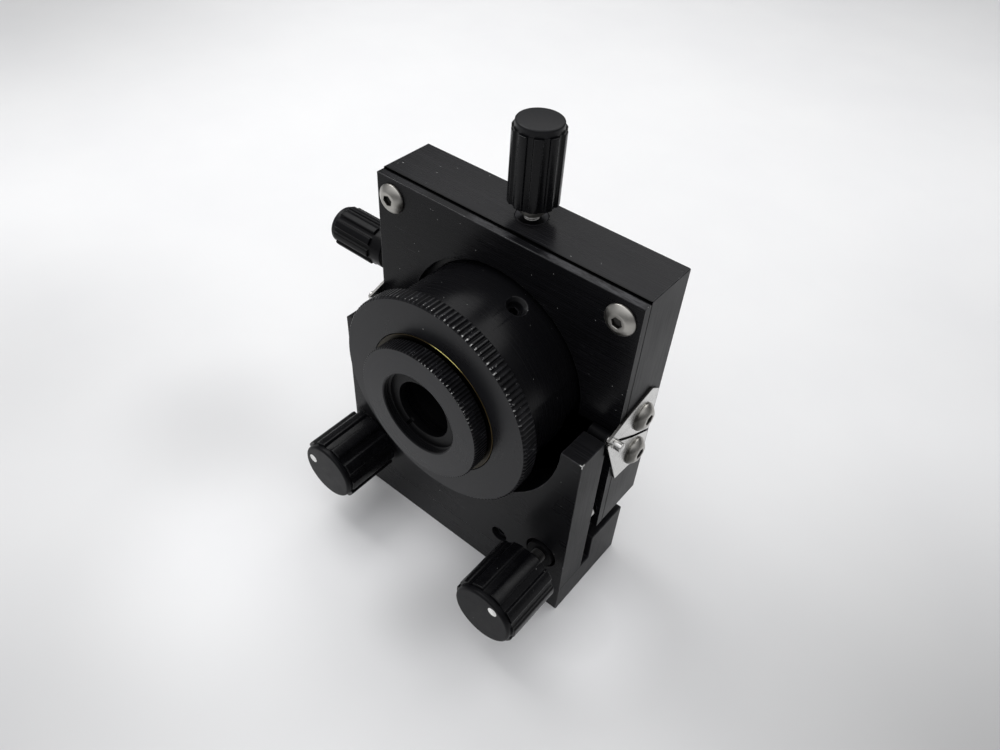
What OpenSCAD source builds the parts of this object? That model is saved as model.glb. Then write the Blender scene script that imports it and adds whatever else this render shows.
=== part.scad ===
// Five-axis optical lens mount.
// X runs to the right, Y runs to the rear along the optical axis, Z runs up.
// The origin is the mouth of the threaded mounting hole in the underside.

/* [Base] */
// Width of the base and of the front plate
base_w = 47; // [46.6:0.1:47]
// Height of the low bar that the front plate stands on
bar_h = 5.83; // [5:0.01:6]
// Height of the rear foot
foot_h = 11.5; // [11:0.1:11.6]
// Front face of the base and of the front plate
base_y0 = -12.93; // [-14:0.01:-12.5]
// Rear face of the front plate
plate_y1 = -6.82; // [-6.9:0.01:-6.8]
// Front face of the rear foot
foot_y0 = -4.35; // [-4.4:0.01:-4.3]
// Rear face of the rear foot
foot_y1 = 4.32; // [4:0.01:6]
// Height of the tops of the front plate's two arms
plate_top = 38.0; // [37:0.1:38]
// Radius of the round cut-out in the front plate
cutout_r = 19.76; // [19.2:0.01:19.8]
// Wall radius of the threaded mounting hole (8-32, tapping size)
post_hole_r = 1.73; // [1.6:0.01:2.6]
// Depth of the mounting hole
post_hole_d = 8.5; // [6:0.1:9]

/* [Optical axis] */
// Height of the optical axis above the underside
axis_z = 38.1; // [38.1:0.1:38.1]
// Distance of the tilt pivot behind the origin
pivot_y = -5.6; // [-5.6:0.1:-5.6]
// Height of the pivot pins
pivot_z = 37.1; // [37:0.1:37.2]

/* [Moving block] */
// Width of the moving block
block_w = 47.24; // [47.2:0.01:47.4]
// Underside of the moving block
block_z0 = 15.0; // [15:0.1:15.2]
// Top of the moving block
block_z1 = 61.1; // [61:0.1:62]
// Front face of the moving block
block_y0 = -2.8; // [-2.8:0.1:-2.8]
// Rear face of the moving block
block_y1 = 6.85; // [6.8:0.01:8]
// Thickness of the cover plate
cover_t = 1.51; // [1.4:0.01:1.52]
// Radius of the opening in the cover plate
cover_r = 16.8; // [16.8:0.1:17.2]
// Radius of the rear opening in the moving block
rear_r = 13; // [12:0.1:13.5]

/* [Lens barrel] */
// Outer radius of the barrel
barrel_r = 15.8; // [15.6:0.01:15.8]
// Front face of the barrel
barrel_y0 = -15.2; // [-15.2:0.1:-15.2]
// Outer radius of the knurled focusing ring
focus_r = 17.47; // [16.5:0.01:18]
// Outer radius of the lens tube
tube_r = 11.7; // [11.7:0.1:11.7]
// Outer radius of the knurled lens cell
cell_r = 11.12; // [10:0.01:11.2]
// Radius of the lens seat in the cell
seat_r = 6.77; // [6.4:0.01:6.9]
// Inner radius of the lens retaining ring
retainer_r = 4.77; // [4.5:0.01:5]

/* [Adjusters] */
// Sideways distance of the two tilt screws from the middle
tilt_x = 18.95; // [18.9:0.05:19]
// Height of the two tilt screws
tilt_z = 12.5; // [12.5:0.1:12.5]
// Radius of the screws
screw_r = 1.2; // [1.1:0.01:1.2]
// Number of ribs round each knob
ribs = 10; // [8:1:12]
// Radius over the ribs of the tilt knobs
tilt_rib_r = 5.8; // [5.6:0.01:5.8]
// Radius of the smooth cap of the tilt knobs
tilt_cap_r = 5.25; // [5:0.01:5.3]
// Radius over the ribs of the translation knobs
slide_rib_r = 3.76; // [3.5:0.01:3.8]
// Radius of the smooth cap of the translation knobs
slide_cap_r = 3.32; // [3.2:0.01:3.36]

/* [Side clips] */
// Thickness of the spring leaves
leaf_t = 0.45; // [0.3:0.01:0.5]
// Radius of the pivot pins
pin_r = 0.75; // [0.6:0.01:0.75]

/* [Hidden] */
$fn = 96;
e = 0.01;
bw = base_w / 2;
kw = block_w / 2;
cover_y0 = block_y0 - cover_t;
slide_y = 2.1;
slide_x_z = 40.95;
slide_z_x = 0.7;
pocket_w = 18.2;
pocket_z0 = 19.9;
pocket_z1 = 56.3;
pocket_y1 = 4.65;
yaw_hole = [10.45, 9.45];
stud_at = [10, 13.4];
stop_at = [22.3, 20];
cover_screw_at = [20.5, 57.5];
cover_screw_low = 18.6;
clip_screw_at = [[2.0, 36.75], [1.8, 29.25]];
lug_screw_x = [6.3, 13.9];
key_angle = 68.7;
key_y = -6.7;

// Cylinders along each axis, given by their two ends
module cx(x0, x1, r, y = 0, z = 0) { translate([x0, y, z]) rotate([0, 90, 0]) cylinder(h = x1 - x0, r = r); }
module cy(y0, y1, r, x = 0, z = 0) { translate([x, y1, z]) rotate([90, 0, 0]) cylinder(h = y1 - y0, r = r); }
module cz(z0, z1, r, x = 0, y = 0) { translate([x, y, z0]) cylinder(h = z1 - z0, r = r); }
module box(x, y, z) { translate([x[0], y[0], z[0]]) cube([x[1] - x[0], y[1] - y[0], z[1] - z[0]]); }
// Hexagonal recess pointing along Y
module hex_y(y0, y1, af, x, z) { translate([x, y1, z]) rotate([90, 0, 0]) cylinder(h = y1 - y0, r = af / sqrt(3), $fn = 6); }

// Domed head of a button-head screw, on the plane z = 0, with its hexagonal socket
module button_head(r, h, af, flat = 0.3) {
    rr = (r * r + (h - flat) * (h - flat)) / (2 * (h - flat));
    difference() {
        union() {
            cylinder(h = flat, r = r);
            intersection() {
                translate([0, 0, h - rr]) sphere(r = rr);
                translate([0, 0, flat]) cylinder(h = h, r = r);
            }
        }
        translate([0, 0, h * 0.35]) cylinder(h = h, r = af / sqrt(3), $fn = 6);
        translate([0, 0, h - 0.18]) cylinder(h = 1, r = r * 0.62);
    }
}

// Coil spring along Z, as one swept tube
module coil(r, wire, len, turns, seg = 14, side = 6) {
    n = turns * seg;
    pts = [for (i = [0 : n]) let (a = 360 * i / seg, z = wire + (len - 2 * wire) * i / n)
        for (j = [0 : side - 1]) let (b = 360 * j / side)
            [(r + wire * cos(b)) * cos(a), (r + wire * cos(b)) * sin(a), z + wire * sin(b)]];
    faces = concat(
        [for (i = [0 : n - 1], j = [0 : side - 1]) let (k = (j + 1) % side)
            [i * side + j, (i + 1) * side + j, (i + 1) * side + k, i * side + k]],
        [[for (j = [0 : side - 1]) j]],
        [[for (j = [side - 1 : -1 : 0]) n * side + j]]);
    polyhedron(points = pts, faces = faces, convexity = 10);
}

// ---- Fixed base ----

module base_block() color([0.075, 0.075, 0.08]) difference() {
    union() {
        box([-bw, bw], [base_y0, foot_y1], [0, bar_h]);
        box([-bw, bw], [foot_y0, foot_y1], [bar_h - e, foot_h]);
    }
    cz(-1, post_hole_d, post_hole_r);
    cz(2.4, foot_h + 1, 1.0, 0, pivot_y);
    cz(bar_h, foot_h + 1, 2.6, 0, pivot_y);
    for (s = [-1, 1]) {
        cz(-1, bar_h + 1, 1.5, s * 5.6, -9.9);
        cz(-1, 3.2, 2.6, s * 5.6, -9.9);
    }
}

module front_plate() color([0.07, 0.07, 0.075]) difference() {
    box([-bw, bw], [base_y0, plate_y1], [bar_h, plate_top]);
    // round cut-out, open at the top
    cy(base_y0 - 1, plate_y1 + 1, cutout_r, 0, axis_z);
    // seat of the yaw bushing
    cy(base_y0 - 1, plate_y1 + 1, 2.4, -tilt_x, tilt_z);
    // clearance round the pitch bushing and its boss
    cy(base_y0 - 1, plate_y1 + 1, 2.9, tilt_x, tilt_z);
    cy(-10.95, plate_y1 + 1, 3.6, tilt_x, tilt_z);
    // threaded hole of the yaw spring's set screw
    cy(base_y0 - 1, plate_y1 + 1, 1.55, yaw_hole[0], yaw_hole[1]);
    // relief for the yoke's pivot boss
    cz(bar_h - 1, 14.6, 2.6, 0, pivot_y);
    for (s = [-1, 1]) {
        cz(bar_h - 1, 12.2, 1.42, s * 5.6, -9.9);
        cy(-9.2, plate_y1 + 1, 1.1, s * stop_at[0], stop_at[1]);
        // relief behind the top of each arm for the pivot boss
        box([s > 0 ? 18.9 : -bw - 1, s > 0 ? bw + 1 : -18.9], [-7.22, plate_y1 + 1], [35.2, plate_top + 1]);
    }
}

module base_screws() color([0.35, 0.35, 0.36]) for (s = [-1, 1]) translate([s * 5.6, -9.9, 0]) difference() {
    union() { cz(0.2, 3.2, 2.45); cz(3.2 - e, 11.6, 1.42); }
    translate([0, 0, -1]) cylinder(h = 2.8, r = 2.0 / sqrt(3), $fn = 6);
}

module yaw_bushing() color([0.35, 0.3, 0.2]) difference() {
    cy(base_y0, plate_y1 - 0.1, 2.4, -tilt_x, tilt_z);
    cy(base_y0 - 1, plate_y1 + 1, screw_r + 0.05, -tilt_x, tilt_z);
}

// Two dome-ended stop pins behind the front plate
module stop_pins() color([0.5, 0.5, 0.5]) for (s = [-1, 1]) translate([s * stop_at[0], 0, stop_at[1]]) {
    cy(-9.1, plate_y1 + 0.95, 1.1);
    intersection() {
        translate([0, plate_y1 - 0.68, 0]) sphere(r = 2.0);
        cy(plate_y1 + 0.94, plate_y1 + 2, 1.1);
    }
}

module yaw_pivot() color([0.7, 0.7, 0.72]) cz(2.4, 12.6, 1.0, 0, pivot_y);

module thrust_washer() color([0.7, 0.55, 0.3]) difference() {
    cz(bar_h, 6.13, 2.1, 0, pivot_y);
    cz(bar_h - 1, 7, 1.05, 0, pivot_y);
}

module yaw_setscrew() color([0.2, 0.2, 0.21]) difference() {
    cy(-12.1, -9.7, 1.5, yaw_hole[0], yaw_hole[1]);
    hex_y(-13, -10.9, 1.3, yaw_hole[0], yaw_hole[1]);
}

module yaw_spring() color([0.6, 0.6, 0.62]) translate([yaw_hole[0], -9.7, yaw_hole[1]]) rotate([-90, 0, 0]) coil(1.05, 0.18, 3.2, 4);

// ---- Yoke: turns about the vertical pivot ----

module yoke() color([0.09, 0.09, 0.1]) difference() {
    union() {
        difference() {
            box([-21, 21], [-6.2, -5.0], [6.15, plate_top]);
            cy(-8, -4, cutout_r + 0.14, 0, axis_z);
        }
        cz(6.15, 14.0, 2.2, 0, pivot_y);
        cy(-10.2, -5.0, 3.0, tilt_x, tilt_z);
        for (s = [-1, 1]) cx(s > 0 ? 19.95 : -23.0, s > 0 ? 23.0 : -19.95, 1.12, pivot_y, pivot_z);
    }
    cz(5, 13.0, 1.04, 0, pivot_y);
    cy(-11, -4, 2.4, tilt_x, tilt_z);
    cy(-7, -4, 0.6, stud_at[0], stud_at[1]);
    for (s = [-1, 1]) cx(s > 0 ? 20.6 : -24, s > 0 ? 24 : -20.6, pin_r, pivot_y, pivot_z);
}

module pivot_pins() color([0.75, 0.75, 0.76]) for (s = [-1, 1]) {
    cx(s > 0 ? 20.6 : -25.5, s > 0 ? 25.5 : -20.6, pin_r, pivot_y, pivot_z);
}

module pitch_bushing() color([0.35, 0.3, 0.2]) difference() {
    cy(-13.3, -5.0, 2.4, tilt_x, tilt_z);
    cy(-14, -4, screw_r + 0.05, tilt_x, tilt_z);
}

module pitch_stud() color([0.5, 0.5, 0.52]) translate([stud_at[0], 0, stud_at[1]]) difference() {
    union() { cy(-6.15, 5.0, 0.6); cy(5.0 - e, 6.2, 1.2); }
    translate([-0.2, 5.7, -2]) cube([0.4, 2, 4]);
}

module pitch_spring() color([0.6, 0.6, 0.62]) translate([stud_at[0], 5.0, stud_at[1]]) rotate([90, 0, 0]) coil(0.87, 0.15, 2.55, 4);

// ---- Moving block: tilts on the two pins ----

module housing_block() color([0.07, 0.07, 0.075]) difference() {
    box([-kw, kw], [block_y0, block_y1], [block_z0, block_z1]);
    // pocket for the two slides, open to the front
    box([-pocket_w, pocket_w], [block_y0 - 1, pocket_y1], [pocket_z0, pocket_z1]);
    cy(block_y0, block_y1 + 1, rear_r, 0, axis_z);
    // seats of the two screw bushings
    cz(pocket_z1 - 1, block_z1 + 1, 2.4, slide_z_x, slide_y);
    cx(-kw - 1, -pocket_w + 1, 2.4, slide_y, slide_x_z);
    for (s = [-1, 1]) {
        for (z = [cover_screw_low, cover_screw_at[1]]) cy(block_y0 - 1, 3.4, 1.4, s * cover_screw_at[0], z);
        for (p = clip_screw_at) cx(s > 0 ? 19.6 : -kw - 1, s > 0 ? kw + 1 : -19.6, 1.4, p[0], p[1]);
    }
    for (x = lug_screw_x) cz(block_z0 - 1, 19.2, 1.1, x, 0);
}

module cover_plate() color([0.06, 0.06, 0.065]) difference() {
    box([-kw, kw], [cover_y0, block_y0], [block_z0, 60.8]);
    cy(cover_y0 - 1, block_y0 + 1, cover_r, 0, axis_z);
    for (s = [-1, 1], z = [cover_screw_low, cover_screw_at[1]]) cy(cover_y0 - 1, block_y0 + 1, 1.5, s * cover_screw_at[0], z);
    // countersinks of the lower two screws
    for (s = [-1, 1]) translate([s * cover_screw_at[0], cover_y0, cover_screw_low]) rotate([-90, 0, 0]) cylinder(h = 1.2, r1 = 2.62, r2 = 1.5);
}

module cover_screws() color([0.75, 0.75, 0.74]) for (s = [-1, 1]) translate([s * cover_screw_at[0], cover_y0, cover_screw_at[1]]) {
    rotate([90, 0, 0]) button_head(2.4, 1.35, 1.5);
    cy(-e, 6.6, 1.4);
}

// The lower two are countersunk, because the yoke runs just in front of them
module cover_screws_low() color([0.3, 0.3, 0.3]) for (s = [-1, 1]) translate([s * cover_screw_at[0], cover_y0, cover_screw_low]) difference() {
    union() {
        rotate([-90, 0, 0]) translate([0, 0, 0.08]) cylinder(h = 1.12, r1 = 2.5, r2 = 1.4);
        cy(1.15, 6.6, 1.4);
    }
    translate([0, 1.1, 0]) rotate([90, 0, 0]) cylinder(h = 3, r = 1.5 / sqrt(3), $fn = 6);
}

// Outlines of the leaves in the side plane, as [y, z]
upper_leaf = [[-7.5, 38.75], [-2.95, 40.3], [3.4, 41.6], [5.6, 40.0], [5.6, 31.2], [0.1, 34.1], [-5.0, 37.4], [-7.4, 38.6]];
lower_leaf = [[-7.35, 37.45], [-2.65, 26.3], [1.4, 25.9], [5.6, 24.0], [5.6, 30.6], [0.1, 33.5], [-5.0, 36.8], [-7.35, 37.95]];

module leaf(pts, side, hole) difference() {
    x0 = side > 0 ? kw : -kw - leaf_t;
    translate([x0, 0, 0]) rotate([90, 0, 90]) linear_extrude(height = leaf_t) polygon(pts);
    cx(x0 - 1, x0 + 2, pin_r + 0.05, pivot_y, pivot_z);
    cx(x0 - 1, x0 + 2, 1.5, hole[0], hole[1]);
}

module clip_upper_right() color([0.8, 0.8, 0.79]) leaf(upper_leaf, 1, clip_screw_at[0]);
module clip_lower_right() color([0.8, 0.8, 0.79]) leaf(lower_leaf, 1, clip_screw_at[1]);
// the left upper leaf is notched round the translation screw
module clip_upper_left() color([0.8, 0.8, 0.79]) difference() {
    leaf(upper_leaf, -1, clip_screw_at[0]);
    cx(-kw - 1, -kw + 1, 1.6, slide_y, slide_x_z);
    box([-kw - 1, -kw + 1], [slide_y - 1.6, slide_y + 1.6], [slide_x_z, slide_x_z + 3]);
}
module clip_lower_left() color([0.8, 0.8, 0.79]) leaf(lower_leaf, -1, clip_screw_at[1]);

module clip_screws() color([0.78, 0.78, 0.77]) for (s = [-1, 1], p = clip_screw_at) translate([s * (kw + leaf_t), p[0], p[1]]) {
    rotate([0, s * 90, 0]) button_head(2.38, 1.6, 1.6);
    rotate([0, -s * 90, 0]) translate([0, 0, -e]) cylinder(h = 4.3, r = 1.4);
}

// Bar under the block that the pitch screw presses on
module pitch_lug() color([0.09, 0.09, 0.1]) difference() {
    box([4.0, 22.0], [-4.3, 1.8], [11.95, block_z0]);
    cy(-5, 3, 1.0, stud_at[0], stud_at[1]);
    for (x = lug_screw_x) {
        cz(11, 16, 1.15, x, 0);
        translate([x, 0, 11.9]) cylinder(h = 1.05, r1 = 2.1, r2 = 1.1);
    }
}

module lug_screws() color([0.4, 0.4, 0.41]) for (x = lug_screw_x) translate([x, 0, 0]) difference() {
    union() {
        translate([0, 0, 12.0]) cylinder(h = 0.95, r1 = 2.0, r2 = 1.1);
        cz(12.9, 18.9, 1.1);
    }
    translate([0, 0, 11]) cylinder(h = 1.9, r = 1.3 / sqrt(3), $fn = 6);
}

module x_bushing() color([0.15, 0.15, 0.16]) difference() {
    cx(-kw, -pocket_w - 0.1, 2.4, slide_y, slide_x_z);
    cx(-kw - 1, -pocket_w + 1, screw_r + 0.05, slide_y, slide_x_z);
}

module y_bushing() color([0.15, 0.15, 0.16]) difference() {
    cz(pocket_z1 + 0.1, block_z1, 2.4, slide_z_x, slide_y);
    cz(pocket_z1 - 1, block_z1 + 1, screw_r + 0.05, slide_z_x, slide_y);
}

// ---- Cross slide: moves sideways in the pocket ----

module cross_slide() color([0.12, 0.12, 0.13]) difference() {
    union() {
        box([-17.1, 17.1], [1.0, 4.6], [pocket_z0 + 0.05, pocket_z1 - 0.05]);
        for (s = [-1, 1]) box([s > 0 ? 15.15 : -17.1, s > 0 ? 17.1 : -15.15], [-2.6, 1.0 + e], [pocket_z0 + 0.05, pocket_z1 - 0.05]);
    }
    cy(0, 6, 13.2, 0, axis_z);
    // notch for the carrier's tongue
    box([-5.1, 5.1], [0, 6], [49.2, 60]);
    // T-slot for the shoe of the sideways screw
    box([-15.6, -14.4], [0, slide_y], [slide_x_z - 1.1, slide_x_z + 1.1]);
    cx(-15.6, -14.4, 1.1, slide_y, slide_x_z);
    box([-15.6, -15], [-4, slide_y], [slide_x_z - 1.1, slide_x_z + 1.1]);
    box([-18, -15.5], [-4, slide_y], [slide_x_z - 0.68, slide_x_z + 0.68]);
    cx(-18, -15.5, 0.68, slide_y, slide_x_z);
}

// ---- Carrier: moves up and down on the cross slide ----

module lens_carrier() color([0.06, 0.06, 0.065]) difference() {
    union() {
        box([-15.1, 15.1], [-2.75, 0.95], [21.3, 54.9]);
        box([-5.0, 5.0], [0.95 - e, 4.5], [50.6, 54.9]);
        cy(barrel_y0, -2.75 + e, barrel_r, 0, axis_z);
    }
    cy(barrel_y0 - 1, 5, tube_r + 0.05, 0, axis_z);
    // front counterbore and groove for the focusing ring
    cy(barrel_y0 - 1, -9.1, 14.05, 0, axis_z);
    cy(-11.15, -10.25, 14.7, 0, axis_z);
    // T-slot for the shoe of the lifting screw
    box([-6, 6], [slide_y - 1.1, slide_y + 1.1], [52.2, 53.4]);
    box([-6, 6], [slide_y - 0.68, slide_y + 0.68], [53.3, 56]);
    // radial hole of the key screw, with a chamfered mouth
    translate([0, key_y, axis_z]) rotate([0, 90 - key_angle, 0]) {
        translate([0, 0, 10]) cylinder(h = 8, r = 1.2);
        translate([0, 0, barrel_r - 0.5]) cylinder(h = 1, r1 = 1.2, r2 = 2.2);
    }
}

module snap_ring() color([0.6, 0.6, 0.62]) difference() {
    cy(-11.1, -10.3, 14.6, 0, axis_z);
    cy(-12, -9, 13.5, 0, axis_z);
    box([-2, 2], [-12, -9], [axis_z - 16, axis_z]);
}

module key_screw() color([0.2, 0.2, 0.21]) translate([0, key_y, axis_z]) rotate([0, 90 - key_angle, 0]) difference() {
    union() {
        translate([0, 0, 11.9]) cylinder(h = 2.6, r = 1.2);
        translate([0, 0, 11.1]) cylinder(h = 0.9, r = 0.85);
    }
    translate([0, 0, 13.2]) cylinder(h = 3, r = 1.27 / sqrt(3), $fn = 6);
}

module focus_ring() color([0.07, 0.07, 0.075]) difference() {
    union() {
        cy(-18.15, -15.25, focus_r, 0, axis_z);
        cy(-15.25 - e, -9.2, 14.0, 0, axis_z);
    }
    cy(-19, -9, tube_r + 0.05, 0, axis_z);
    difference() {
        cy(-11.15, -10.25, 15, 0, axis_z);
        cy(-12, -9, 13.4, 0, axis_z);
    }
}

module lens_tube() color([0.75, 0.58, 0.28]) difference() {
    cy(-18.17, -0.5, tube_r, 0, axis_z);
    cy(-19, -12.8, 8.6, 0, axis_z);
    cy(-19, 0, 7.6, 0, axis_z);
    // keyway
    translate([0, 0, axis_z]) rotate([0, 90 - key_angle, 0]) {
        translate([-0.95, -9.9, 10.95]) cube([1.9, 7.3, 3]);
    }
}

module lens_cell() color([0.06, 0.06, 0.065]) difference() {
    union() {
        cy(-21.12, -18.4, cell_r, 0, axis_z);
        cy(-18.4 - e, -13.0, 8.6, 0, axis_z);
    }
    cy(-22, -19.85, seat_r, 0, axis_z);
    cy(-19.85 - e, -16.5, seat_r - 0.22, 0, axis_z);
    cy(-22, -12, 5.6, 0, axis_z);
}

module retaining_ring() color([0.08, 0.08, 0.085]) difference() {
    cy(-19.8, -18.6, seat_r - 0.22, 0, axis_z);
    cy(-20, -18, retainer_r, 0, axis_z);
    // two spanner notches
    translate([0, 0, axis_z]) rotate([0, -58, 0]) translate([-8, -21, -0.3]) cube([16, 1.6, 0.6]);
}

// ---- Adjusters ----

// Tilt screw along Y: tip end at y1, inside the knob to y0; crimped cup for the ball in its rear end
module tilt_screw(x, y0, y1, ball_y) color([0.6, 0.6, 0.6]) difference() {
    union() {
        cy(y0, y1 - 0.7, screw_r, x, tilt_z);
        cy(y1 - 0.7 - e, y1, 0.95, x, tilt_z);
    }
    cy(ball_y - 0.82, y1 + 1, 0.82, x, tilt_z);
}

module yaw_ball() color([0.8, 0.8, 0.82]) translate([-tilt_x, -7.02, tilt_z]) sphere(r = 0.8);
module yaw_screw() tilt_screw(-tilt_x, -21.95, -6.8, -7.02);
module pitch_ball() color([0.8, 0.8, 0.82]) translate([tilt_x, -5.12, tilt_z]) sphere(r = 0.8);
module pitch_screw() tilt_screw(tilt_x, -25.15, -4.9, -5.12);

// Ribbed sleeve of a tilt knob, from its capped front end
module tilt_sleeve(x, y_cap) color([0.03, 0.03, 0.033]) translate([x, y_cap, tilt_z]) rotate([-90, 0, 0]) difference() {
    w = 2 * PI * tilt_rib_r / ribs * 0.64;
    union() {
        translate([0, 0, 0.94]) cylinder(h = 9.96, r = tilt_cap_r + 0.05);
        intersection() {
            translate([0, 0, 0.94]) cylinder(h = 9.76, r = tilt_rib_r);
            for (i = [0 : ribs - 1]) rotate([0, 0, (i + 0.5) * 360 / ribs])
                translate([tilt_cap_r * 0.5, -w / 2, 0]) cube([tilt_rib_r, w, 12]);
        }
    }
    translate([0, 0, 2.6]) cylinder(h = 12, r = screw_r);
    translate([0, 0, -1]) cylinder(h = 2.9, r = 3.2);
}
module tilt_cap(x, y_cap) color([0.05, 0.05, 0.055]) translate([x, y_cap, tilt_z]) rotate([-90, 0, 0]) {
    cylinder(h = 0.93, r = tilt_cap_r);
    translate([0, 0, 0.92]) cylinder(h = 0.9, r = 3.2);
}
module yaw_knob() tilt_sleeve(-tilt_x, -24.55);
module yaw_cap() tilt_cap(-tilt_x, -24.55);
module pitch_knob() tilt_sleeve(tilt_x, -27.75);
module pitch_cap() tilt_cap(tilt_x, -27.75);

// Translation adjuster along Z, drawn with the driven slide's edge at z = 0 and the screw rising
module shoe() difference() {
    translate([0, 0, -2.65]) cylinder(h = 1.1, r = 1.05);
    translate([0, 0, -3]) cylinder(h = 3, r = 0.65);
}
module slide_screw(top) union() {
    translate([0, 0, -2.6]) cylinder(h = 2.7, r = 0.6);
    translate([0, 0, 0.05]) cylinder(h = top - 0.05, r = screw_r);
}
// collar from z = low up into the cup of the sleeve, whose own lower end is at z = top - 12.1
module slide_collar(top, low, r) difference() {
    translate([0, 0, low]) cylinder(h = top - 11.6 - low, r = r);
    translate([0, 0, low - 1]) cylinder(h = top, r = screw_r);
}
// ribbed sleeve and cap, with the cap's outer face at z = top
module slide_sleeve(top, rib_l) difference() {
    w = 2 * PI * slide_rib_r / ribs * 0.64;
    union() {
        translate([0, 0, top - 12.1]) cylinder(h = 11, r = slide_cap_r + 0.03);
        intersection() {
            translate([0, 0, top - 1.1 - rib_l]) cylinder(h = rib_l, r = slide_rib_r);
            for (i = [0 : ribs - 1]) rotate([0, 0, (i + 0.5) * 360 / ribs])
                translate([slide_cap_r * 0.5, -w / 2, top - 12.5]) cube([slide_rib_r, w, 12.5]);
        }
    }
    translate([0, 0, top - 14]) cylinder(h = 2.4, r = 1.95);
    translate([0, 0, top - 14]) cylinder(h = 11.6, r = screw_r);
    translate([0, 0, top - 1.9]) cylinder(h = 3, r = 2.1);
}
module slide_cap(top) {
    translate([0, 0, top - 1.1]) cylinder(h = 1.1, r = slide_cap_r);
    translate([0, 0, top - 1.9]) cylinder(h = 0.81, r = 2.1);
}

// Placement of the lifting adjuster: its slide edge is the top of the carrier's tongue
module at_lift() translate([slide_z_x, slide_y, 54.9]) children();
// Placement of the sideways adjuster: its slide edge is the left edge of the cross slide
module at_side() translate([-17.1, slide_y, slide_x_z]) rotate([0, -90, 0]) children();
lift_top = 20.7;
side_top = 22.7;

module x_shoe() color([0.75, 0.6, 0.3]) at_side() shoe();
module x_screw() color([0.6, 0.6, 0.6]) at_side() slide_screw(side_top - 2.5);
module x_collar() color([0.6, 0.6, 0.58]) at_side() slide_collar(side_top, 7.75, 1.6);
module x_knob() color([0.03, 0.03, 0.033]) at_side() slide_sleeve(side_top, 8.3);
module x_cap() color([0.05, 0.05, 0.055]) at_side() slide_cap(side_top);
module y_shoe() color([0.75, 0.6, 0.3]) at_lift() shoe();
module y_screw() color([0.6, 0.6, 0.6]) at_lift() slide_screw(lift_top - 2.5);
module y_collar() color([0.6, 0.6, 0.58]) at_lift() slide_collar(lift_top, 7.1, 1.95);
module y_knob() color([0.03, 0.03, 0.033]) at_lift() slide_sleeve(lift_top, 10.8);
module y_cap() color([0.05, 0.05, 0.055]) at_lift() slide_cap(lift_top);

base_block();
front_plate();
base_screws();
yaw_bushing();
stop_pins();
yaw_pivot();
thrust_washer();
yaw_setscrew();
yaw_spring();
yoke();
pivot_pins();
pitch_bushing();
pitch_stud();
pitch_spring();
housing_block();
cover_plate();
cover_screws();
cover_screws_low();
clip_upper_right();
clip_upper_left();
clip_lower_right();
clip_lower_left();
clip_screws();
pitch_lug();
lug_screws();
x_bushing();
y_bushing();
cross_slide();
lens_carrier();
snap_ring();
key_screw();
focus_ring();
lens_tube();
lens_cell();
retaining_ring();
yaw_ball();
yaw_screw();
yaw_knob();
yaw_cap();
pitch_ball();
pitch_screw();
pitch_knob();
pitch_cap();
x_shoe();
x_screw();
x_collar();
x_knob();
x_cap();
y_shoe();
y_screw();
y_collar();
y_knob();
y_cap();
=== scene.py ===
import math
import random

import bmesh
import bpy
from mathutils import Matrix, Vector


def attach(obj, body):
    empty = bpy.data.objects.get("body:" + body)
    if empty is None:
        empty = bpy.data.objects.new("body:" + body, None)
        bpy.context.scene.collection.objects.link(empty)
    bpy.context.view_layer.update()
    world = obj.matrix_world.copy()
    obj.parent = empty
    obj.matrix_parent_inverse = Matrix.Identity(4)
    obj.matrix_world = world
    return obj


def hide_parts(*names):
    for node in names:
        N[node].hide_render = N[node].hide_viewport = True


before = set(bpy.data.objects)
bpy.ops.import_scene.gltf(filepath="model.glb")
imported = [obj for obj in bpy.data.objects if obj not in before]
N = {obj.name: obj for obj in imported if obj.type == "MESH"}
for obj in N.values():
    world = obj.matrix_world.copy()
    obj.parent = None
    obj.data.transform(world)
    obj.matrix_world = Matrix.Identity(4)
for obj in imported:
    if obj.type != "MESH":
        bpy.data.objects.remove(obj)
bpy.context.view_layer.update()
scene = bpy.context.scene
rng = random.Random(7)

MM = 0.001
AXIS = Vector((0.0, 0.0, 38.1))  # a point of the optical axis, mm
TAU = 2 * math.pi

# ---------------------------------------------------------------- camera

cam_data = bpy.data.cameras.new("camera")
cam = bpy.data.objects.new("camera", cam_data)
scene.collection.objects.link(cam)
right = Vector((0.77106, 0.63474, 0.05046)).normalized()
back = Vector((0.42747, -0.57476, 0.69779)).normalized()
up = back.cross(right).normalized()
right = up.cross(back).normalized()
cam.matrix_world = Matrix((
    (right.x, up.x, back.x, 0.05608),
    (right.y, up.y, back.y, -0.07717),
    (right.z, up.z, back.z, 0.12368),
    (0, 0, 0, 1)))
cam_data.lens = 29.004
cam_data.sensor_width = 36.0
cam_data.clip_start = 0.005
cam_data.clip_end = 20.0
scene.camera = cam

scene.view_settings.view_transform = "Standard"
scene.view_settings.look = "None"
scene.view_settings.exposure = 0.0
scene.view_settings.gamma = 1.0

# ---------------------------------------------------------------- materials


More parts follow.
